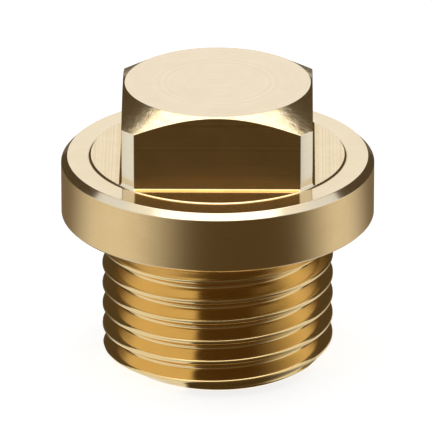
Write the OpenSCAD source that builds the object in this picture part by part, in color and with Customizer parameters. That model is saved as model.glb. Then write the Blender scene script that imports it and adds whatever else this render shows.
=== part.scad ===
// Brass pipe plug with a square head, a round collar and a parallel pipe thread.
// Turned from round bar, with four flats milled on its head. One solid, in millimetres.
// The origin is the centre of the flat end of the thread, and +Z runs up through the head.

/* [Head] */
// Width across two opposite milled flats, for an 8 mm spanner
head_af = 7.85; // [7.4:0.05:8.2]
// Diameter of the turned bar, which is left at the four corners
bar_d = 10.4; // [9.8:0.1:11]
// Height of the head above the collar
head_h = 3.25; // [2.6:0.05:5]
// Diameter of the flat crown on top of the head
crown_d = 7.68; // [7:0.02:7.8]
// Slope of the cone between the crown and the bar, in degrees from level
crown_slope = 30; // [20:1:40]
// Radius that the milling cutter leaves at the foot of each flat
flat_fillet = 0.14; // [0.05:0.01:0.3]
// Height of the thin disc that the cutter leaves on the collar
disc_h = 0.05; // [0.02:0.01:0.15]

/* [Collar] */
// Diameter of the collar
collar_d = 13; // [12:0.1:15]
// Thickness of the collar
collar_t = 2.55; // [1.5:0.05:4]
// Bevel on the upper edge of the collar
collar_bevel = 0.25; // [0.1:0.01:0.5]
// Edge break on the lower edge of the collar
collar_break = 0.1; // [0.05:0.01:0.3]
// Radius that the turning tool leaves between the bar and the collar
foot_fillet = 0.2; // [0.1:0.01:0.35]

/* [Thread] */
// Major diameter of the external thread
thread_d = 9.62; // [9.3:0.01:9.75]
// Pitch of the thread, 28 turns to the inch
pitch = 0.907; // [0.7:0.001:1]
// Included angle of the thread form, in degrees
thread_angle = 55; // [50:1:60]
// Length of the shank below the collar
shank_l = 6.4; // [5:0.1:12]
// Turn of the thread about the axis, in degrees
thread_turn = 163; // [0:1:359]

/* [Shank ends] */
// Width of the relief between the thread's last crest and the collar
relief_w = 1.05; // [1.05:0.05:1.6]
// Depth of the relief below the roots of the thread
relief_depth = 0.03; // [0.01:0.01:0.05]
// Slope of the relief's lower side, in degrees from level
relief_slope = 27; // [10:1:30]
// Clearance round the thread's crests at the inner edge of the collar's flat seat
seat_clearance = 0.06; // [0.03:0.01:0.1]
// Diameter of the flat end face
end_d = 7.8; // [6.5:0.05:8.2]
// Slope of the bevel round the end face, in degrees from level
end_slope = 33; // [25:1:50]

/* [Hidden] */
$fn = 96;

// Levels above the end face
collar_z = shank_l;
collar_top = collar_z + collar_t;
disc_top = collar_top + disc_h;
head_top = collar_top + head_h;
crown_foot = head_top - (bar_d - crown_d) / 2 * tan(crown_slope);
bevel_top = (thread_d - end_d) / 2 * tan(end_slope);

// Thread form with its crests and roots cut off to a sixth of the pitch
flat_share = 1 / 6;
root_half = pitch * flat_share / 2;
crest_half = pitch * (1 - flat_share) / 2;
flank = tan(thread_angle / 2);
thread_depth = (crest_half - root_half) / flank;
root_r = thread_d / 2 - thread_depth;
relief_r = root_r - relief_depth;

// The relief, from its lower edge up to the radius that blends it into the collar
relief_z = collar_z - relief_w;
relief_foot = relief_z + (thread_d / 2 - relief_r) * tan(relief_slope);
seat_r = thread_d / 2 + seat_clearance;
relief_fillet = seat_r - relief_r;

// The groove is swept past the crests by this much, in steps round the turn
groove_over = 0.05;
groove_steps = 36;
groove_first = -ceil(groove_steps / 2);
groove_last = floor((relief_z + crest_half) / pitch * groove_steps);

// Margin by which a cutter runs past what it cuts
past = 1;

// Points of the groove's section at one step of the helix
function groove_section(step) =
    let (angle = thread_turn + 360 * step / groove_steps,
         z = pitch * step / groove_steps,
         outer_r = thread_d / 2 + groove_over,
         outer_half = crest_half + groove_over * flank)
    [for (p = [[root_r, -root_half], [outer_r, -outer_half], [outer_r, outer_half], [root_r, root_half]])
        [p[0] * cos(angle), p[0] * sin(angle), z + p[1]]];

// Helical groove of the right-hand thread, as one swept solid
module thread_groove() {
    sides = 4;
    steps = groove_last - groove_first;
    points = [for (i = [0 : steps]) each groove_section(groove_first + i)];
    walls = [for (i = [0 : steps - 1], k = [0 : sides - 1])
        let (a = i * sides + k,
             b = i * sides + (k + 1) % sides)
        each [[a, b, b + sides], [a, b + sides, a + sides]]];
    first_cap = [[3, 2, 1, 0]];
    last_cap = [[for (k = [0 : sides - 1]) steps * sides + k]];
    polyhedron(points = points, faces = concat(walls, first_cap, last_cap), convexity = 10);
}

// Fill of an inner corner at the origin, left by a round-nosed tool
module inner_fillet(r) {
    difference() {
        square(r);
        translate([r, r])
            circle(r = r);
    }
}

// Half section of the turned blank, from the end face to the crown
module blank_section() {
    polygon([
        [0, 0],
        [end_d / 2, 0],
        [thread_d / 2, bevel_top],
        [thread_d / 2, relief_z],
        [relief_r, relief_foot],
        [relief_r, collar_z],
        [collar_d / 2 - collar_break, collar_z],
        [collar_d / 2, collar_z + collar_break],
        [collar_d / 2, collar_top - collar_bevel],
        [collar_d / 2 - collar_bevel, collar_top],
        [bar_d / 2, collar_top],
        [bar_d / 2, crown_foot],
        [crown_d / 2, head_top],
        [0, head_top],
    ]);
    translate([bar_d / 2, collar_top])
        inner_fillet(foot_fillet);
    translate([relief_r, collar_z])
        mirror([0, 1])
            inner_fillet(relief_fillet);
}

// Side view of what one milling cut takes off, with its rounded lower corner at the flat
module flat_cut_section() {
    reach = (bar_d - head_af) / 2 + foot_fillet + past;
    rise = head_h + past;
    translate([head_af / 2, disc_top]) {
        translate([flat_fillet, 0])
            square([reach - flat_fillet, rise]);
        translate([0, flat_fillet])
            square([reach, rise - flat_fillet]);
        translate([flat_fillet, flat_fillet])
            circle(r = flat_fillet);
    }
}

// The four milling cuts that make the square head
module flat_cuts() {
    for (turn = [0 : 90 : 270])
        rotate([90, 0, turn])
            linear_extrude(height = bar_d + 2 * past, center = true)
                flat_cut_section();
}

module plug() {
    color("goldenrod")
        difference() {
            rotate_extrude()
                blank_section();
            flat_cuts();
            thread_groove();
        }
}

plug();
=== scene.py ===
"""Dresses a brass pipe plug: its milled square head, turned collar and parallel pipe thread.

The plug is one solid piece of brass. Its blank is a mesh of columns round the axis, built from a
few driving sizes, and its thread is a helical sheet that a node tree grows and welds to the blank.
"""

from __future__ import annotations

import logging
import math
from dataclasses import dataclass
from enum import Enum

import bpy
import numpy as np
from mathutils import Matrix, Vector

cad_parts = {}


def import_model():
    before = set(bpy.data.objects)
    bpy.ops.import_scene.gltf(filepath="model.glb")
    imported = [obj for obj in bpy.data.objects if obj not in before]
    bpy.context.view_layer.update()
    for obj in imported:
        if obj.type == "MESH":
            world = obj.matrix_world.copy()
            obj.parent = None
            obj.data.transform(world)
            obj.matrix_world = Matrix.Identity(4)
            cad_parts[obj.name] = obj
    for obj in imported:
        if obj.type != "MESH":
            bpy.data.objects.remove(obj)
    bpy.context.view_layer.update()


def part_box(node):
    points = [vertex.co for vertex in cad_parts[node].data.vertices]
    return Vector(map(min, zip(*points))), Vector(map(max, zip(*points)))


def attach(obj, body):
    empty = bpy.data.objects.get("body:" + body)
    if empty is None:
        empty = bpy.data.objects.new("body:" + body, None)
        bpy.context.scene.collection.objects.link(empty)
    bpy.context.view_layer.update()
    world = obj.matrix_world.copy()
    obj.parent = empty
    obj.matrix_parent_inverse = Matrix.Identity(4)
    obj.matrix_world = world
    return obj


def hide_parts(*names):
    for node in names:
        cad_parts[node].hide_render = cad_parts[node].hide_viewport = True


log = logging.getLogger("pipe_plug")

MM = 0.001
QUARTER = math.pi / 2

Point = tuple[float, float]
Colour = tuple[float, float, float]


class Marks(Enum):
    """How the tool's fine marks run over a finish."""

    RINGS = "rings round the axis on a face"
    HOOPS = "hoops round the axis on a wall"
    ALONG_FLAT = "lines along the nearest flat"


class Zone(Enum):
    """The surfaces of the plug, in the order of its material slots."""

    CROWN = 0
    CONE = 1
    FLAT = 2
    BAR = 3
    STEP = 4
    COLLAR_FACE = 5
    COLLAR_WALL = 6
    UNDERSIDE = 7
    THREAD = 8


class NodeSheet:
    """Adds nodes to a tree and links them, so that a formula can be written as nested calls."""

    def __init__(self, tree: bpy.types.NodeTree) -> None:
        """Keeps the tree that the nodes go to.

        Args:
            tree: a shader tree or a geometry tree.
        """
        self.tree = tree

    def add(self, kind: str, inputs: dict[str | int, object] | None = None, **settings: object) -> bpy.types.Node:
        """Adds one node.

        Args:
            kind: the node's type name.
            inputs: values or sockets for its inputs, by name or number.
            settings: the node's own properties.

        Returns:
            The new node.
        """
        node = self.tree.nodes.new(kind)
        for name, value in settings.items():
            setattr(node, name, value)
        for key, value in (inputs or {}).items():
            self.feed(node.inputs[key], value)
        return node

    def feed(self, socket: bpy.types.NodeSocket, value: object) -> None:
        """Gives an input a value or a link.

        Args:
            socket: the input.
            value: a plain value, or an output socket.
        """
        if isinstance(value, bpy.types.NodeSocket):
            self.tree.links.new(value, socket)
        else:
            socket.default_value = value

    def maths(self, operation: str, *values: object) -> bpy.types.NodeSocket:
        """Adds a Math node.

        Args:
            operation: the operation's name.
            values: its operands, as numbers or sockets.

        Returns:
            Its output.
        """
        return self.add("ShaderNodeMath", dict(enumerate(values)), operation=operation).outputs[0]

    def mix_colour(self, share: object, first: object, second: object) -> bpy.types.NodeSocket:
        """Mixes two colours.

        Args:
            share: how much of the second colour, from 0 to 1.
            first: the first colour.
            second: the second colour.

        Returns:
            The mixed colour.
        """
        node = self.add("ShaderNodeMix", data_type="RGBA")
        for name, value in (("Factor", share), ("A", first), ("B", second)):
            kind = "VALUE" if name == "Factor" else "RGBA"
            socket = next(s for s in node.inputs if s.name == name and s.type == kind)
            self.feed(socket, (*value, 1.0) if isinstance(value, tuple) else value)
        return next(s for s in node.outputs if s.type == "RGBA")


@dataclass(frozen=True)
class BrassFinishAndPaintedTone:
    """One finish of the brass, with the marks that its tool left, and a tint that also paints in the light or shade of
    its surface.
    """

    name: str
    tint: Colour
    deep_tint: Colour
    roughness: float
    marks: Marks
    mark_pitch: float
    mark_depth: float
    mark_share: float = 0.6
    mottle: float = 1.0
    mottle_size: float = 0.9 * MM
    dent_depth: float = 0.0

    MIDDLE = 0.35
    ROUGH_SPREAD = 0.25

    def material(self) -> bpy.types.Material:
        """Makes the finish, whose tint also paints in light and shade.

        Returns:
            A metal whose tint, roughness and bump follow the tool's marks.
        """
        made = bpy.data.materials.new(self.name)
        made.use_nodes = True
        sheet = NodeSheet(made.node_tree)
        shader = made.node_tree.nodes["Principled BSDF"]
        shader.inputs["Metallic"].default_value = 1.0
        place = sheet.add("ShaderNodeTexCoord").outputs["Object"]
        across = self.across_marks(sheet, place)
        marks = sheet.add(
            "ShaderNodeTexNoise",
            {"W": sheet.maths("DIVIDE", across, self.mark_pitch), "Scale": 1.0, "Detail": 3.0, "Roughness": 0.7},
            noise_dimensions="1D",
        ).outputs[0]
        mottle = sheet.add(
            "ShaderNodeTexNoise",
            {"Vector": place, "Scale": 1.0 / self.mottle_size, "Detail": 5.0, "Roughness": 0.65},
        ).outputs[0]
        spread = sheet.maths("MULTIPLY", sheet.maths("SUBTRACT", marks, 0.5), self.mark_share)
        stain = sheet.maths("MULTIPLY", sheet.maths("SUBTRACT", mottle, 0.5), self.mottle)
        share = sheet.maths("ADD", sheet.maths("ADD", spread, stain), self.MIDDLE)
        share = sheet.maths("MINIMUM", sheet.maths("MAXIMUM", share, 0.0), 1.0)
        sheet.feed(shader.inputs["Base Color"], sheet.mix_colour(share, self.tint, self.deep_tint))
        smoothest = (1 - self.MIDDLE * self.ROUGH_SPREAD) * self.roughness
        rough = sheet.maths("MULTIPLY_ADD", share, self.ROUGH_SPREAD * self.roughness, smoothest)
        sheet.feed(shader.inputs["Roughness"], rough)
        relief = sheet.maths("MULTIPLY", marks, self.mark_depth / MM)
        relief = sheet.maths("MULTIPLY_ADD", mottle, self.dent_depth / MM, relief)
        bump = sheet.add("ShaderNodeBump", {"Strength": 1.0, "Distance": MM, "Height": relief})
        sheet.feed(shader.inputs["Normal"], bump.outputs["Normal"])
        return made

    def across_marks(self, sheet: NodeSheet, place: bpy.types.NodeSocket) -> bpy.types.NodeSocket:
        """Measures across the tool's marks.

        Args:
            sheet: the material's nodes.
            place: the point's place on the object.

        Returns:
            A length that stays the same along a mark.
        """
        axes = sheet.add("ShaderNodeSeparateXYZ", {0: place}).outputs
        if self.marks is Marks.HOOPS:
            return axes["Z"]
        if self.marks is Marks.ALONG_FLAT:
            return sheet.maths("MAXIMUM", sheet.maths("ABSOLUTE", axes["X"]), sheet.maths("ABSOLUTE", axes["Y"]))
        squares = [sheet.maths("MULTIPLY", axes[name], axes[name]) for name in ("X", "Y")]
        return sheet.maths("SQRT", sheet.maths("ADD", *squares))


# The tints differ by surface to paint in light and shade. The pale cream tints on the crown, cone, bar, step and collar
# face are painted highlight. The dark deep tint of the flats and the deeper tints of the collar wall and underside are
# painted shade. The marks, stains, dents, roughness and bumps are the real finish.
FINISHES_AND_PAINTED_TONES = {
    # Pale cream tint: painted highlight on the crown.
    Zone.CROWN: BrassFinishAndPaintedTone(
        "faced_crown", (0.88, 0.75, 0.55), (0.82, 0.68, 0.48), 0.24, Marks.RINGS, 0.16 * MM, 0.0007 * MM, 1.0, 1.0
    ),
    # Pale cream tint: painted highlight on the cone; its mottle and dents are stains and dents.
    Zone.CONE: BrassFinishAndPaintedTone(
        "turned_cone", (0.90, 0.75, 0.50), (0.74, 0.56, 0.29), 0.17, Marks.RINGS, 0.05 * MM, 0.0004 * MM,
        mottle=2.2, mottle_size=0.5 * MM, dent_depth=0.012 * MM,
    ),
    # Dark deep tint: painted shade on the flats.
    Zone.FLAT: BrassFinishAndPaintedTone(
        "milled_flat", (0.94, 0.68, 0.33), (0.68, 0.45, 0.18), 0.17, Marks.HOOPS, 0.12 * MM, 0.0008 * MM, 1.8, 1.2
    ),
    # Pale cream tint: painted highlight on the bar.
    Zone.BAR: BrassFinishAndPaintedTone(
        "drawn_bar", (0.90, 0.77, 0.54), (0.84, 0.69, 0.45), 0.16, Marks.HOOPS, 0.2 * MM, 0.0003 * MM
    ),
    # Pale cream tint: painted highlight on the step.
    Zone.STEP: BrassFinishAndPaintedTone(
        "milled_step", (0.88, 0.73, 0.49), (0.74, 0.58, 0.34), 0.16, Marks.ALONG_FLAT, 0.12 * MM, 0.0008 * MM, 1.8
    ),
    # Pale cream tint: painted highlight on the collar's face.
    Zone.COLLAR_FACE: BrassFinishAndPaintedTone(
        "faced_collar", (0.87, 0.74, 0.52), (0.80, 0.65, 0.43), 0.15, Marks.RINGS, 0.09 * MM, 0.0005 * MM
    ),
    # Deeper tint: painted shade on the collar's wall.
    Zone.COLLAR_WALL: BrassFinishAndPaintedTone(
        "turned_collar", (0.85, 0.60, 0.28), (0.77, 0.52, 0.22), 0.30, Marks.HOOPS, 0.07 * MM, 0.0012 * MM, 1.2
    ),
    # Deeper tint: painted shade under the collar.
    Zone.UNDERSIDE: BrassFinishAndPaintedTone(
        "turned_underside", (0.82, 0.62, 0.33), (0.76, 0.55, 0.27), 0.25, Marks.RINGS, 0.07 * MM, 0.0006 * MM
    ),
    Zone.THREAD: BrassFinishAndPaintedTone(
        "cut_thread", (0.90, 0.66, 0.31), (0.84, 0.59, 0.25), 0.16, Marks.RINGS, 0.08 * MM, 0.0003 * MM
    ),
}


@dataclass(frozen=True)
class Corner:
    """A corner of a half section, with the rounding that is left on it."""

    r: float
    z: float
    rounding: float = 0.0


@dataclass(frozen=True)
class SectionTool:
    """Turns the corners of a half section into a line with rounded corners."""

    steps: int = 4
    guard: float = 0.04 * MM
    most: float = 0.4

    @property
    def points_a_corner(self) -> int:
        """Number of points that one rounded corner gives."""
        return self.steps + 3

    def run(self, corners: list[Corner]) -> list[Point]:
        """Rounds every corner and sets a point on each side of its arc, so that faces stay flat.

        Args:
            corners: the section's corners in order. The first and last are kept as they are.

        Returns:
            The points of the line: always the same number for the same roundings.
        """
        line = [(corners[0].r, corners[0].z)]
        for before, corner, after in zip(corners, corners[1:], corners[2:]):
            line += self.round_off(before, corner, after) if corner.rounding else [(corner.r, corner.z)]
        return [*line, (corners[-1].r, corners[-1].z)]

    def round_off(self, before: Corner, corner: Corner, after: Corner) -> list[Point]:
        """Rounds one corner.

        Args:
            before: the corner that the line comes from.
            corner: the corner to round.
            after: the corner that the line goes to.

        Returns:
            The arc's points between two guard points.
        """
        here = Vector((corner.r, corner.z))
        back = Vector((before.r, before.z)) - here
        on = Vector((after.r, after.z)) - here
        shortest = min(back.length, on.length)
        if shortest < 1e-3 * MM:
            return [(corner.r, corner.z)] * self.points_a_corner
        turn = math.pi - back.angle(on)
        tangent = min(corner.rounding * math.tan(turn / 2), self.most * shortest)
        guard = tangent + min(self.guard, (0.5 - self.most) * shortest)
        back.normalize()
        on.normalize()
        radius = tangent / math.tan(turn / 2)
        middle = here + (back + on).normalized() * math.hypot(radius, tangent)
        spoke = here + back * tangent - middle
        sense = 1.0 if back.x * on.y - back.y * on.x < 0 else -1.0
        arc = []
        for step in range(self.steps + 1):
            angle = sense * turn * step / self.steps
            arc.append(middle + Vector((
                spoke.x * math.cos(angle) - spoke.y * math.sin(angle),
                spoke.x * math.sin(angle) + spoke.y * math.cos(angle),
            )))
        return [tuple(p) for p in (here + back * guard, *arc, here + on * guard)]


@dataclass
class Ring:
    """One ring of points round the blank, with the finish of the band above it at each column."""

    angles: np.ndarray
    radii: np.ndarray
    levels: np.ndarray
    zones: np.ndarray

    def points(self) -> np.ndarray:
        """Gives the ring's points."""
        return np.column_stack((self.radii * np.cos(self.angles), self.radii * np.sin(self.angles), self.levels))


@dataclass
class Collar:
    """The turned collar, its seat and the relief under it."""

    outer_d: float
    seat_z: float
    relief_r: float
    seat_r: float
    join_z: float
    thickness: float = 2.55 * MM
    bevel: float = 0.25 * MM
    lower_break: float = 0.1 * MM
    edge: float = 0.04 * MM
    arc_steps: int = 10

    @property
    def top(self) -> float:
        """Level of the collar's upper face."""
        return self.seat_z + self.thickness

    def line(self, inner_r: float) -> tuple[list[Point], list[Zone]]:
        """Draws the half section from the relief, round the collar, to the foot of the head.

        Args:
            inner_r: radius at which the head's foot begins.

        Returns:
            The section's points, and the surface that begins at each.
        """
        blend = self.seat_r - self.relief_r
        outer_r = self.outer_d / 2
        points = [(self.relief_r, self.join_z)]
        for step in range(self.arc_steps + 1):
            angle = QUARTER * step / self.arc_steps
            points.append((self.seat_r - blend * math.cos(angle), self.seat_z - blend + blend * math.sin(angle)))
        zones = [Zone.UNDERSIDE] * (len(points) - 1)
        outside = SectionTool().run([
            Corner(self.seat_r, self.seat_z),
            Corner(outer_r - self.lower_break, self.seat_z, self.edge),
            Corner(outer_r, self.seat_z + self.lower_break, self.edge),
            Corner(outer_r, self.top - self.bevel, self.edge),
            Corner(outer_r - self.bevel, self.top, self.edge),
            Corner(inner_r, self.top),
        ])
        a_corner = SectionTool().points_a_corner
        zones += [Zone.UNDERSIDE] * (a_corner + a_corner // 2)
        zones += [Zone.COLLAR_WALL] * a_corner
        zones += [Zone.COLLAR_FACE] * (len(points) + len(outside) - 1 - len(zones))
        return points + outside[1:], zones


@dataclass
class SquareHead:
    """The head: a turned bar with a coned crown and four milled flats."""

    foot_z: float
    top_z: float
    across_flats: float = 7.85 * MM
    bar_d: float = 10.4 * MM
    crown_d: float = 7.68 * MM
    crown_slope: float = math.radians(30)
    flat_fillet: float = 0.14 * MM
    foot_fillet: float = 0.2 * MM
    step_h: float = 0.05 * MM
    edge: float = 0.035 * MM
    arris: float = 0.03 * MM
    burr: float = 0.5
    burr_seed: int = 7
    flat_columns: int = 44
    arris_columns: int = 4
    facet_columns: int = 4
    fillet_steps: int = 6
    foot_steps: int = 4
    guard: float = 0.04 * MM
    sliver: float = 0.004 * MM
    crown_rings: tuple[float, ...] = (0.85, 0.6, 0.35, 0.12)

    @property
    def columns(self) -> int:
        """Number of columns round the head."""
        return 4 * (self.flat_columns + 2 * (self.arris_columns + self.facet_columns))

    @property
    def step_z(self) -> float:
        """Level of the step that the milling cutter leaves on the collar."""
        return self.foot_z + self.step_h

    @property
    def foot_r(self) -> float:
        """Radius at which the foot's fillet meets the collar."""
        return self.bar_d / 2 + self.foot_fillet

    def turned_r(self, above: float) -> float:
        """Gives the radius of the turned foot and bar.

        Args:
            above: height above the collar.

        Returns:
            The radius there.
        """
        drop = max(self.foot_fillet - above, 0.0)
        return self.foot_r - math.sqrt(self.foot_fillet**2 - drop**2)

    def flat_reach(self, turn: float) -> Point:
        """Follows the fillet at the foot of a flat.

        Args:
            turn: how far round the fillet, from nothing at the step to a quarter turn at the flat.

        Returns:
            The distance of the milled surface from the axis, and its height above the step.
        """
        reach = self.across_flats / 2 + self.flat_fillet * (1 - math.sin(turn))
        return reach, self.flat_fillet * (1 - math.cos(turn))

    def folds(self, reach: float, turned: float) -> np.ndarray:
        """Spaces the columns of one quarter, close together at the arrises.

        Args:
            reach: distance of the milled surface from the axis.
            turned: radius of the turned surface.

        Returns:
            Angles from the middle of the flat, from one corner of the square to the next.
        """
        edge = math.acos(reach / turned)
        spread = self.arris / (turned * math.tan(edge))
        flat = np.linspace(0.0, edge - spread, self.flat_columns // 2 + 1)
        arris = np.linspace(edge - spread, edge + spread, self.arris_columns + 1)[1:]
        facet = np.linspace(edge + spread, math.pi / 4, self.facet_columns + 1)[1:]
        half = np.concatenate((flat, arris, facet))
        return np.concatenate((-half[:0:-1], half[:-1]))

    def round_up(self, folds: np.ndarray) -> np.ndarray:
        """Turns the folds of one quarter into angles all the way round.

        Args:
            folds: angles from the middle of a flat.

        Returns:
            One angle for each column, in order from the first corner of the square.
        """
        return np.concatenate([folds + quarter * QUARTER for quarter in range(4)])

    def least(self, first: np.ndarray | float, second: np.ndarray | float) -> np.ndarray:
        """Takes the lesser of two radii, with a rounded change from one to the other.

        Args:
            first: a radius for each column, or one for all.
            second: a radius for each column, or one for all.

        Returns:
            The lesser radius at each column.
        """
        near = np.maximum(self.arris - np.abs(first - second), 0.0) / self.arris
        return np.minimum(first, second) - near**3 * self.arris / 6

    def rings(self) -> list[Ring]:
        """Builds the rings from the foot's fillet to the middle of the crown.

        Returns:
            The rings in order, each with one point for each column.
        """
        on_flat = np.abs(np.tile(self.folds(*self.arris_line(QUARTER)), 4)) < self.edge_angle
        flat_zone = np.where(on_flat, Zone.FLAT.value, Zone.BAR.value)
        step_zone = np.where(on_flat, Zone.STEP.value, Zone.BAR.value)
        walls = []
        for step in range(self.fillet_steps + 1):
            turn = QUARTER * step / self.fillet_steps
            reach, turned = self.arris_line(turn)
            quarter = self.folds(reach, turned)
            radii = self.least(turned, reach / np.cos(np.tile(quarter, 4)))
            levels = np.full(self.columns, self.step_z + self.flat_reach(turn)[1])
            walls.append(Ring(self.round_up(quarter), radii, levels, flat_zone))
        foot = walls[0]
        rim = self.turned_r(self.step_h)
        foot.radii = np.where(rim - foot.radii < self.sliver, rim, foot.radii)
        rings = []
        for step in range(self.foot_steps + 1):
            above = self.step_h * step / self.foot_steps
            radii = np.full(self.columns, self.turned_r(above))
            rings.append(Ring(foot.angles, radii, np.full(self.columns, self.foot_z + above), step_zone))
        gap = np.minimum(self.guard, (rim - foot.radii) / 3)
        for radii in (rim - gap, foot.radii + gap):
            rings.append(Ring(foot.angles, radii, foot.levels, step_zone))
        rings += walls
        top = walls[-1]
        return rings + self.upper_rings(top.angles, top.radii, top.levels[0], flat_zone)

    @property
    def edge_angle(self) -> float:
        """Angle from the middle of a flat to its arris."""
        return math.acos(self.across_flats / self.bar_d)

    def arris_line(self, turn: float) -> Point:
        """Gives the reach of the milled surface and the turned radius at a turn round the flat's fillet."""
        reach, above = self.flat_reach(turn)
        return reach, self.turned_r(self.step_h + above)

    def upper_rings(
        self, angles: np.ndarray, walls: np.ndarray, wall_foot: float, flat_zone: np.ndarray
    ) -> list[Ring]:
        """Builds the rings up the walls, over the cone and across the crown.

        Args:
            angles: angle of each column.
            walls: radius of the wall at each column.
            wall_foot: level at which the walls begin.
            flat_zone: the surface of the wall at each column.

        Returns:
            The rings in order.
        """
        uneven = np.random.default_rng(self.burr_seed).uniform(1 - self.burr, 1 + self.burr, self.columns)
        crown_r = self.crown_d / 2
        slope = math.tan(self.crown_slope)
        lines = []
        for wall, share in zip(walls, uneven):
            wall_top = self.top_z - (wall - crown_r) * slope
            lines.append(SectionTool().run([
                Corner(wall, wall_foot),
                Corner(wall, wall_top, self.edge * share),
                Corner(crown_r, self.top_z, self.edge),
                *[Corner(crown_r * share, self.top_z) for share in self.crown_rings],
            ]))
        a_corner = SectionTool().points_a_corner
        rings = []
        for index, points in enumerate(zip(*lines)):
            if index == 0:
                continue
            radii, levels = (np.array(values) for values in zip(*points))
            if index <= a_corner // 2 + 1:
                zones = flat_zone
            elif index <= a_corner + a_corner // 2 + 1:
                zones = np.full(self.columns, Zone.CONE.value)
            else:
                zones = np.full(self.columns, Zone.CROWN.value)
            rings.append(Ring(angles, radii, levels, zones))
        return rings


@dataclass
class EndFace:
    """The flat end of the shank with the edge round it."""

    end_d: float
    end_slope: float
    join_z: float
    edge: float = 0.03 * MM
    middle: float = 0.3 * MM

    def line(self) -> list[Point]:
        """Draws the half section from the middle of the end face to where the thread is welded on.

        Returns:
            The section's points.
        """
        end_r = self.end_d / 2
        return SectionTool().run([
            Corner(self.middle, 0.0),
            Corner(end_r, 0.0, self.edge),
            Corner(end_r + self.join_z / math.tan(self.end_slope), self.join_z),
        ])


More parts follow.
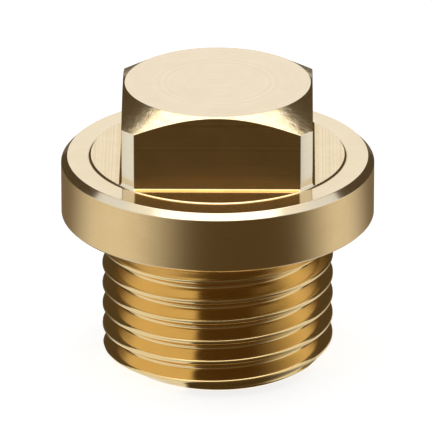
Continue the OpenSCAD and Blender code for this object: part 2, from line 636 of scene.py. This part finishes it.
@dataclass
class ThreadTree:
    """A node tree that grows a right-hand thread as one helical sheet and welds it to the blank."""

    major_d: float = 9.62 * MM
    pitch: float = 0.907 * MM
    form_angle: float = math.radians(55)
    flat_share: float = 1 / 6
    rounding: float = 0.13 * MM
    turn: float = math.radians(163)
    end_d: float = 7.8 * MM
    end_slope: float = math.radians(33)
    relief_z: float = 5.35 * MM
    relief_slope: float = math.radians(27)
    relief_depth: float = 0.03 * MM
    softness: float = 0.02 * MM
    low_z: float = 0.06 * MM
    high_z: float = 5.7 * MM
    rows_a_pitch: int = 30
    weld: float = 0.0004 * MM

    @property
    def root_r(self) -> float:
        """Radius of the thread's roots."""
        depth = self.pitch * (1 - 2 * self.flat_share) / 2 / math.tan(self.form_angle / 2)
        return self.major_d / 2 - depth

    @property
    def relief_r(self) -> float:
        """Radius of the relief between the thread and the collar."""
        return self.root_r - self.relief_depth

    def inputs(self, columns: int, finish: bpy.types.Material) -> dict[str, tuple[str, object]]:
        """Lists the tree's inputs.

        Args:
            columns: number of columns round the shank.
            finish: the thread's finish.

        Returns:
            Each input's kind of socket and value, by name.
        """
        rows = math.ceil((self.high_z - self.low_z + self.pitch) / self.pitch * self.rows_a_pitch) + 1
        return {
            "Major radius": ("NodeSocketFloat", self.major_d / 2),
            "Root radius": ("NodeSocketFloat", self.root_r),
            "Pitch": ("NodeSocketFloat", self.pitch),
            "Form angle": ("NodeSocketFloat", self.form_angle),
            "Root width": ("NodeSocketFloat", self.pitch * self.flat_share),
            "Rounding": ("NodeSocketFloat", self.rounding),
            "Turn": ("NodeSocketFloat", self.turn),
            "End radius": ("NodeSocketFloat", self.end_d / 2),
            "End slope": ("NodeSocketFloat", self.end_slope),
            "Relief level": ("NodeSocketFloat", self.relief_z),
            "Relief slope": ("NodeSocketFloat", self.relief_slope),
            "Relief radius": ("NodeSocketFloat", self.relief_r),
            "Edge softness": ("NodeSocketFloat", self.softness),
            "Low level": ("NodeSocketFloat", self.low_z),
            "High level": ("NodeSocketFloat", self.high_z),
            "Columns": ("NodeSocketInt", columns),
            "Rows": ("NodeSocketInt", rows),
            "Rows a pitch": ("NodeSocketInt", self.rows_a_pitch),
            "Weld distance": ("NodeSocketFloat", self.weld),
            "Finish": ("NodeSocketMaterial", finish),
        }

    def build(self, inputs: dict[str, tuple[str, object]]) -> bpy.types.NodeTree:
        """Builds the tree.

        Args:
            inputs: the kind of socket and value of each named input.

        Returns:
            The geometry node tree.
        """
        tree = bpy.data.node_groups.new("pipe_thread", "GeometryNodeTree")
        tree.interface.new_socket(name="Blank", in_out="INPUT", socket_type="NodeSocketGeometry")
        tree.interface.new_socket(name="Plug", in_out="OUTPUT", socket_type="NodeSocketGeometry")
        for name, (kind, _) in inputs.items():
            tree.interface.new_socket(name=name, in_out="INPUT", socket_type=kind)
        sheet = NodeSheet(tree)
        size = sheet.add("NodeGroupInput").outputs
        maths = sheet.maths
        grid = sheet.add("GeometryNodeMeshGrid", {
            "Size X": 1.0,
            "Size Y": 1.0,
            "Vertices X": maths("ADD", size["Columns"], 1.0),
            "Vertices Y": maths("ADD", size["Rows"], 1.0),
        })
        along = sheet.add("ShaderNodeSeparateXYZ", {0: sheet.add("GeometryNodeInputPosition").outputs[0]}).outputs
        round_share = maths("ADD", along["X"], 0.5)
        angle = maths("MULTIPLY", round_share, 2 * math.pi)
        row_h = maths("DIVIDE", size["Pitch"], size["Rows a pitch"])
        climb = maths("MULTIPLY", maths("ADD", along["Y"], 0.5), maths("MULTIPLY", size["Rows"], row_h))
        start = maths("SUBTRACT", size["Low level"], size["Pitch"])
        helix = maths("ADD", maths("MULTIPLY_ADD", round_share, size["Pitch"], start), climb)
        level = self.held(sheet, helix, size, maths("MULTIPLY", row_h, 0.5))
        radius = self.radius(sheet, size, angle, level)
        place = sheet.add("ShaderNodeCombineXYZ", {
            "X": maths("MULTIPLY", radius, maths("COSINE", angle)),
            "Y": maths("MULTIPLY", radius, maths("SINE", angle)),
            "Z": level,
        })
        helical = sheet.add("GeometryNodeSetPosition", {"Geometry": grid.outputs["Mesh"], "Position": place.outputs[0]})
        smooth = sheet.add("GeometryNodeSetShadeSmooth", {"Geometry": helical.outputs[0], "Shade Smooth": True})
        cut = sheet.add("GeometryNodeSetMaterial", {"Geometry": smooth.outputs[0], "Material": size["Finish"]})
        marked = sheet.add(
            "GeometryNodeStoreNamedAttribute",
            {"Geometry": cut.outputs[0], "Name": "threaded", "Value": True},
            data_type="BOOLEAN",
            domain="FACE",
        )
        joined = sheet.add("GeometryNodeJoinGeometry")
        for part in (size["Blank"], marked.outputs[0]):
            tree.links.new(part, joined.inputs[0])
        welded = sheet.add("GeometryNodeMergeByDistance", {"Geometry": joined.outputs[0], "Distance": size["Weld distance"]})
        real = sheet.add("GeometryNodeRealizeInstances", {"Geometry": welded.outputs[0]})
        threaded = sheet.add("GeometryNodeInputNamedAttribute", {"Name": "threaded"}, data_type="BOOLEAN")
        dressed = sheet.add("GeometryNodeSetMaterial", {
            "Geometry": real.outputs[0],
            "Selection": threaded.outputs["Attribute"],
            "Material": size["Finish"],
        })
        sheet.add("NodeGroupOutput", {"Plug": dressed.outputs[0]})
        return tree

    def held(
        self, sheet: NodeSheet, helix: bpy.types.NodeSocket, size: bpy.types.bpy_prop_collection, near: bpy.types.NodeSocket
    ) -> bpy.types.NodeSocket:
        """Holds a level of the helix between the two ends, without thin slivers next to them.

        Args:
            sheet: the tree's nodes.
            helix: the level that the helix gives.
            size: the tree's inputs.
            near: a level this near an end goes to it.

        Returns:
            The held level.
        """
        held = helix
        for name, side in (("Low level", "LESS_THAN"), ("High level", "GREATER_THAN")):
            offset = near if side == "LESS_THAN" else sheet.maths("MULTIPLY", near, -1.0)
            past = sheet.maths(side, held, sheet.maths("ADD", size[name], offset))
            switch = sheet.add("GeometryNodeSwitch", {"Switch": past, "False": held, "True": size[name]}, input_type="FLOAT")
            held = switch.outputs[0]
        return held

    def radius(
        self,
        sheet: NodeSheet,
        size: bpy.types.bpy_prop_collection,
        angle: bpy.types.NodeSocket,
        level: bpy.types.NodeSocket,
    ) -> bpy.types.NodeSocket:
        """Gives the thread's radius, cut back by the bevel of the end and by the relief.

        Args:
            sheet: the tree's nodes.
            size: the tree's inputs.
            angle: angle round the axis.
            level: level above the end face.

        Returns:
            The radius.
        """
        maths = sheet.maths
        turned = maths("DIVIDE", maths("SUBTRACT", angle, size["Turn"]), 2 * math.pi)
        turns = maths("SUBTRACT", maths("DIVIDE", level, size["Pitch"]), turned)
        off_root = maths("ABSOLUTE", maths("SUBTRACT", turns, maths("ROUND", turns)))
        beside = maths("MULTIPLY_ADD", off_root, size["Pitch"], maths("MULTIPLY", size["Root width"], -0.5))
        slope = maths("TANGENT", maths("MULTIPLY", size["Form angle"], 0.5))
        flank = maths("ADD", size["Root radius"], maths("DIVIDE", beside, slope))
        form = maths("SMOOTH_MAX", flank, size["Root radius"], size["Rounding"])
        form = maths("SMOOTH_MIN", form, size["Major radius"], size["Rounding"])
        bevel = maths("ADD", size["End radius"], maths("DIVIDE", level, maths("TANGENT", size["End slope"])))
        past_relief = maths("SUBTRACT", level, size["Relief level"])
        relief = maths("SUBTRACT", size["Major radius"], maths("DIVIDE", past_relief, maths("TANGENT", size["Relief slope"])))
        relief = maths("SMOOTH_MAX", relief, size["Relief radius"], size["Edge softness"])
        return maths("SMOOTH_MIN", maths("SMOOTH_MIN", form, bevel, size["Edge softness"]), relief, size["Edge softness"])


class PipePlug:
    """The whole plug: a blank from the end face to the crown, with the thread welded in."""

    NODE = "plug"
    BODY = "root"
    SLOT = "brass"
    HEAD_H = 3.25 * MM
    SHANK_L = 6.4 * MM
    SEAT_CLEARANCE = 0.06 * MM

    def __init__(self, low: Vector, high: Vector) -> None:
        """Takes the plug's outer sizes from the frame.

        Args:
            low: lowest corner of the plug's box.
            high: highest corner of the plug's box.
        """
        self.thread = ThreadTree()
        self.end = EndFace(self.thread.end_d, self.thread.end_slope, self.thread.low_z)
        self.head = SquareHead(foot_z=high.z - self.HEAD_H, top_z=high.z)
        self.collar = Collar(
            outer_d=2 * min(high.x, high.y, -low.x, -low.y),
            seat_z=low.z + self.SHANK_L,
            relief_r=self.thread.relief_r,
            seat_r=self.thread.major_d / 2 + self.SEAT_CLEARANCE,
            join_z=self.thread.high_z,
        )

    def blank(self) -> bpy.types.Object:
        """Builds the end face and everything above the thread as one mesh with two open rims.

        Returns:
            The blank's object.
        """
        columns = self.head.columns
        even = self.head.round_up(np.linspace(-math.pi / 4, math.pi / 4, columns // 4 + 1)[:-1])
        line, zones = self.collar.line(self.head.foot_r)
        collar = [
            Ring(even, np.full(columns, r), np.full(columns, z), np.full(columns, zone.value))
            for (r, z), zone in zip(line[:-1], zones)
        ]
        end = [
            Ring(even, np.full(columns, r), np.full(columns, z), np.full(columns, Zone.THREAD.value))
            for r, z in self.end.line()
        ]
        mesh = bpy.data.meshes.new("plug_blank")
        vertices: list[np.ndarray] = []
        faces: list[list[int]] = []
        surfaces: list[int] = []
        for rings in (end, collar + self.head.rings()):
            first = sum(len(part) for part in vertices)
            vertices += [ring.points() for ring in rings]
            for index, ring in enumerate(rings[:-1]):
                here = first + index * columns
                for column in range(columns):
                    on = (column + 1) % columns
                    faces.append([here + column, here + on, here + columns + on, here + columns + column])
                    surfaces.append(int(min(ring.zones[column], ring.zones[on])))
        total = sum(len(part) for part in vertices)
        faces.append(list(range(columns))[::-1])
        surfaces.append(Zone.THREAD.value)
        faces.append(list(range(total - columns, total)))
        surfaces.append(Zone.CROWN.value)
        mesh.from_pydata(np.concatenate(vertices).tolist(), [], faces)
        for zone in Zone:
            mesh.materials.append(FINISHES_AND_PAINTED_TONES[zone].material())
        mesh.polygons.foreach_set("material_index", surfaces)
        mesh.polygons.foreach_set("use_smooth", [True] * len(faces))
        mesh.update()
        made = bpy.data.objects.new("plug_blank", mesh)
        bpy.context.scene.collection.objects.link(made)
        return made

    def build(self) -> bpy.types.Object:
        """Builds the plug and lets it stand for the plain solid.

        Returns:
            The finished piece.
        """
        blank = self.blank()
        finish = blank.data.materials[Zone.THREAD.value]
        inputs = self.thread.inputs(self.head.columns, finish)
        tree = self.thread.build(inputs)
        modifier = blank.modifiers.new("thread", "NODES")
        modifier.node_group = tree
        for socket in tree.interface.items_tree:
            if socket.in_out == "INPUT" and socket.name in inputs:
                modifier[socket.identifier] = inputs[socket.name][1]
        bpy.context.view_layer.update()
        evaluated = blank.evaluated_get(bpy.context.evaluated_depsgraph_get())
        mesh = bpy.data.meshes.new_from_object(evaluated)
        for slot in reversed(range(len(mesh.materials))):
            if mesh.materials[slot] is None:
                mesh.materials.pop(index=slot)
        piece = bpy.data.objects.new("brass_plug", mesh)
        bpy.context.scene.collection.objects.link(piece)
        bpy.data.objects.remove(blank)
        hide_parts(self.NODE)
        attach(piece, self.BODY)
        log.info("%s: %d vertices, %d faces", piece.name, len(mesh.vertices), len(mesh.polygons))
        return piece


@dataclass(frozen=True)
class Band:
    """A stretch of card with soft edges, between two directions seen from the plug.

    A direction is in degrees from the camera's side and grows towards the right.
    """

    start: float
    end: float
    tone: Colour
    soft_start: float = 1.0
    soft_end: float = 1.0

    def share(self, direction: float) -> float:
        """Says how much of the card shows in a direction.

        Args:
            direction: the direction, from the band's start or less to a full turn past it.

        Returns:
            From 0 outside the band to 1 inside its soft edges.
        """
        inside = min((direction - self.start) / self.soft_start, (self.end - direction) / self.soft_end)
        held = min(max(inside, 0.0), 1.0)
        return held * held * (3 - 2 * held)


@dataclass(frozen=True)
class Surround:
    """A ring of card round the plug that only its reflections show."""

    name: str
    profile: tuple[Point, ...]
    tone: Colour
    bands: tuple[Band, ...] = ()
    first: float = -180.0
    last: float = 180.0
    strips: int = 240

    def tone_at(self, direction: float) -> Colour:
        """Lays the bands over the ring's own tone.

        Args:
            direction: the direction from the plug in degrees.

        Returns:
            The tone there.
        """
        tone = Vector(self.tone)
        for band in self.bands:
            share = max(band.share(direction), band.share(direction + 360), band.share(direction - 360))
            tone = tone.lerp(Vector(band.tone), share)
        return tuple(tone)

    def build(self) -> bpy.types.Object:
        """Makes the ring.

        Returns:
            The ring's object.
        """
        vertices = []
        tones = []
        for strip in range(self.strips + 1):
            direction = self.first + (self.last - self.first) * strip / self.strips
            angle = math.radians(direction)
            tone = self.tone_at(direction)
            for r, z in self.profile:
                vertices.append((r * math.sin(angle), -r * math.cos(angle), z))
                tones += (*tone, 1.0)
        rows = len(self.profile)
        faces = [
            [strip * rows + row, strip * rows + row + 1, (strip + 1) * rows + row + 1, (strip + 1) * rows + row]
            for strip in range(self.strips)
            for row in range(rows - 1)
        ]
        return StageCard(self.name, vertices, faces, tones).build()


@dataclass
class StageCard:
    """A card of the stage: it glows with its own tones, and only reflections show it."""

    name: str
    vertices: list[tuple[float, float, float]]
    faces: list[list[int]]
    tones: list[float]

    def build(self) -> bpy.types.Object:
        """Makes the card.

        Returns:
            The card's object.
        """
        mesh = bpy.data.meshes.new(self.name)
        mesh.from_pydata(self.vertices, [], self.faces)
        mesh.color_attributes.new("tone", "FLOAT_COLOR", "POINT").data.foreach_set("color", self.tones)
        made = bpy.data.materials.new(self.name)
        made.use_nodes = True
        made.node_tree.nodes.clear()
        sheet = NodeSheet(made.node_tree)
        tone = sheet.add("ShaderNodeAttribute", attribute_name="tone").outputs["Color"]
        glow = sheet.add("ShaderNodeEmission", {"Color": tone, "Strength": 1.0})
        sheet.add("ShaderNodeOutputMaterial", {"Surface": glow.outputs[0]})
        mesh.materials.append(made)
        card = bpy.data.objects.new(self.name, mesh)
        bpy.context.scene.collection.objects.link(card)
        card.visible_camera = False
        card.visible_diffuse = False
        card.visible_shadow = False
        return card


@dataclass
class Studio:
    """A pale floor, soft light from above, cards round the plug, and the camera."""

    floor_size: float = 3.0
    floor_glow: float = 0.8
    floor_albedo: float = 0.45
    ambient: float = 0.35
    lamp_size: float = 0.7
    lamp_height: float = 0.6
    lamp_level: float = 1.0
    card_lift: float = 0.02 * MM
    near_reach: float = 11 * MM
    card_reach: float = 400 * MM
    wall_height: float = 460 * MM
    rear_y: float = 100 * MM
    rear_height: float = 205 * MM
    rear_width: float = 770 * MM
    window: float = 54 * MM
    focal_px: float = 8000.0
    frame_px: int = 432
    sensor: float = 36.0
    elevation: float = math.radians(22.97)
    distance: float = 332.6 * MM
    aim: tuple[float, float, float] = (-0.07 * MM, 0.0, 6.23 * MM)
    head_turn: float = math.radians(0.46)

    def build(self) -> None:
        """Makes the stage, the lights and the camera."""
        self.floor()
        self.world()
        self.lamp()
        self.cards()
        self.camera()
        log.info("studio: floor, lamp, cards and camera")

    def seen(self, sheet: NodeSheet) -> bpy.types.NodeSocket:
        """Tells rays that show the background from those that light the floor.

        Args:
            sheet: the nodes of a material or of the world.

        Returns:
            1 for a ray from the camera, from gloss or through glass.
        """
        path = sheet.add("ShaderNodeLightPath").outputs
        share = sheet.maths("MAXIMUM", path["Is Camera Ray"], path["Is Glossy Ray"])
        return sheet.maths("MAXIMUM", share, path["Is Transmission Ray"])

    def floor(self) -> None:
        """Lays a pale floor that is white to the camera and keeps the plug's shadow."""
        mesh = bpy.data.meshes.new("floor")
        half = self.floor_size / 2
        mesh.from_pydata([(-half, -half, 0), (half, -half, 0), (half, half, 0), (-half, half, 0)], [], [[0, 1, 2, 3]])
        made = bpy.data.materials.new("pale_floor")
        made.use_nodes = True
        made.node_tree.nodes.clear()
        sheet = NodeSheet(made.node_tree)
        albedo = (self.floor_albedo,) * 3 + (1.0,)
        lit = sheet.add("ShaderNodeBsdfDiffuse", {"Color": albedo})
        glow = sheet.add("ShaderNodeEmission", {"Strength": sheet.maths("MULTIPLY", self.seen(sheet), self.floor_glow)})
        both = sheet.add("ShaderNodeAddShader", {0: lit.outputs[0], 1: glow.outputs[0]})
        sheet.add("ShaderNodeOutputMaterial", {"Surface": both.outputs[0]})
        mesh.materials.append(made)
        floor = bpy.data.objects.new("floor", mesh)
        bpy.context.scene.collection.objects.link(floor)

    def world(self) -> None:
        """Sets a world that is white in view and in reflections, and dimmer as a light."""
        world = bpy.data.worlds.new("studio_world")
        world.use_nodes = True
        world.node_tree.nodes.clear()
        sheet = NodeSheet(world.node_tree)
        strength = sheet.maths("MULTIPLY_ADD", self.seen(sheet), 1.0 - self.ambient, self.ambient)
        back = sheet.add("ShaderNodeBackground", {"Color": (1.0, 1.0, 1.0, 1.0), "Strength": strength})
        sheet.add("ShaderNodeOutputWorld", {"Surface": back.outputs[0]})
        bpy.context.scene.world = world

    def lamp(self) -> None:
        """Hangs one soft lamp over the plug."""
        light = bpy.data.lights.new("overhead_lamp", "AREA")
        light.shape = "SQUARE"
        light.size = self.lamp_size
        light.energy = math.pi * self.lamp_level * self.lamp_size**2
        made = bpy.data.objects.new("overhead_lamp", light)
        made.location = (0.0, 0.0, self.lamp_height)
        bpy.context.scene.collection.objects.link(made)

    def cards(self) -> None:
        """Sets the cards that give the metal its dark and pale bands."""
        pale = (0.85, 0.90, 1.0)
        brown = (0.085, 0.062, 0.035)
        near = Surround(
            "near_floor_card",
            ((3.95 * MM, self.card_lift), (self.near_reach, self.card_lift)),
            (0.85, 0.90, 1.0),
            (
                Band(85.0, 190.0, (0.55, 0.50, 0.42), 25.0, 20.0),
                Band(180.0, 282.0, (0.13, 0.11, 0.07), 20.0, 30.0),
                Band(-20.0, 95.0, (0.07, 0.05, 0.025), 3.0, 70.0),
            ),
        )
        far = Surround(
            "far_floor_card",
            ((self.near_reach, self.card_lift), (self.card_reach, self.card_lift)),
            pale,
            (
                Band(90.0, 278.0, (0.17, 0.14, 0.10), 42.0, 44.0),
                Band(-64.0, 86.0, brown, 52.0, 38.0),
            ),
        )
        wall = Surround(
            "wall_card",
            ((self.card_reach, 0.0), (self.card_reach, self.wall_height)),
            pale,
            (Band(-30.0, 75.0, (0.14, 0.105, 0.07), 14.0, 30.0),),
            first=-110.0,
            last=110.0,
        )
        for ring in (near, far, wall):
            ring.build()
        for name, side in (("rear_left_card", -1.0), ("rear_right_card", 1.0)):
            inner, outer = side * self.window / 2, side * self.rear_width / 2
            corners = [(x, self.rear_y, z) for z in (0.0, self.rear_height) for x in (inner, outer)]
            StageCard(name, corners, [[0, 1, 3, 2]], [*brown, 1.0] * len(corners)).build()

    def camera(self) -> None:
        """Sets the camera at the photograph's angle and frame."""
        data = bpy.data.cameras.new("camera")
        data.sensor_width = self.sensor
        data.lens = self.focal_px * self.sensor / self.frame_px
        data.clip_start = 0.01
        data.clip_end = 10.0
        made = bpy.data.objects.new("camera", data)
        side = math.sin(self.head_turn)
        back = Vector((
            side * math.cos(self.elevation),
            -math.cos(self.head_turn) * math.cos(self.elevation),
            math.sin(self.elevation),
        ))
        made.location = Vector(self.aim) + back * self.distance
        made.rotation_mode = "QUATERNION"
        made.rotation_quaternion = (-back).to_track_quat("-Z", "Y")
        bpy.context.scene.collection.objects.link(made)
        bpy.context.scene.camera = made


def main() -> None:
    """Builds the studio and the plug round the frame."""
    logging.basicConfig(level=logging.INFO)
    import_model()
    scene = bpy.context.scene
    scene.view_settings.view_transform = "Standard"
    Studio().build()
    PipePlug(*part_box(PipePlug.NODE)).build()


if __name__ == "__main__":
    main()
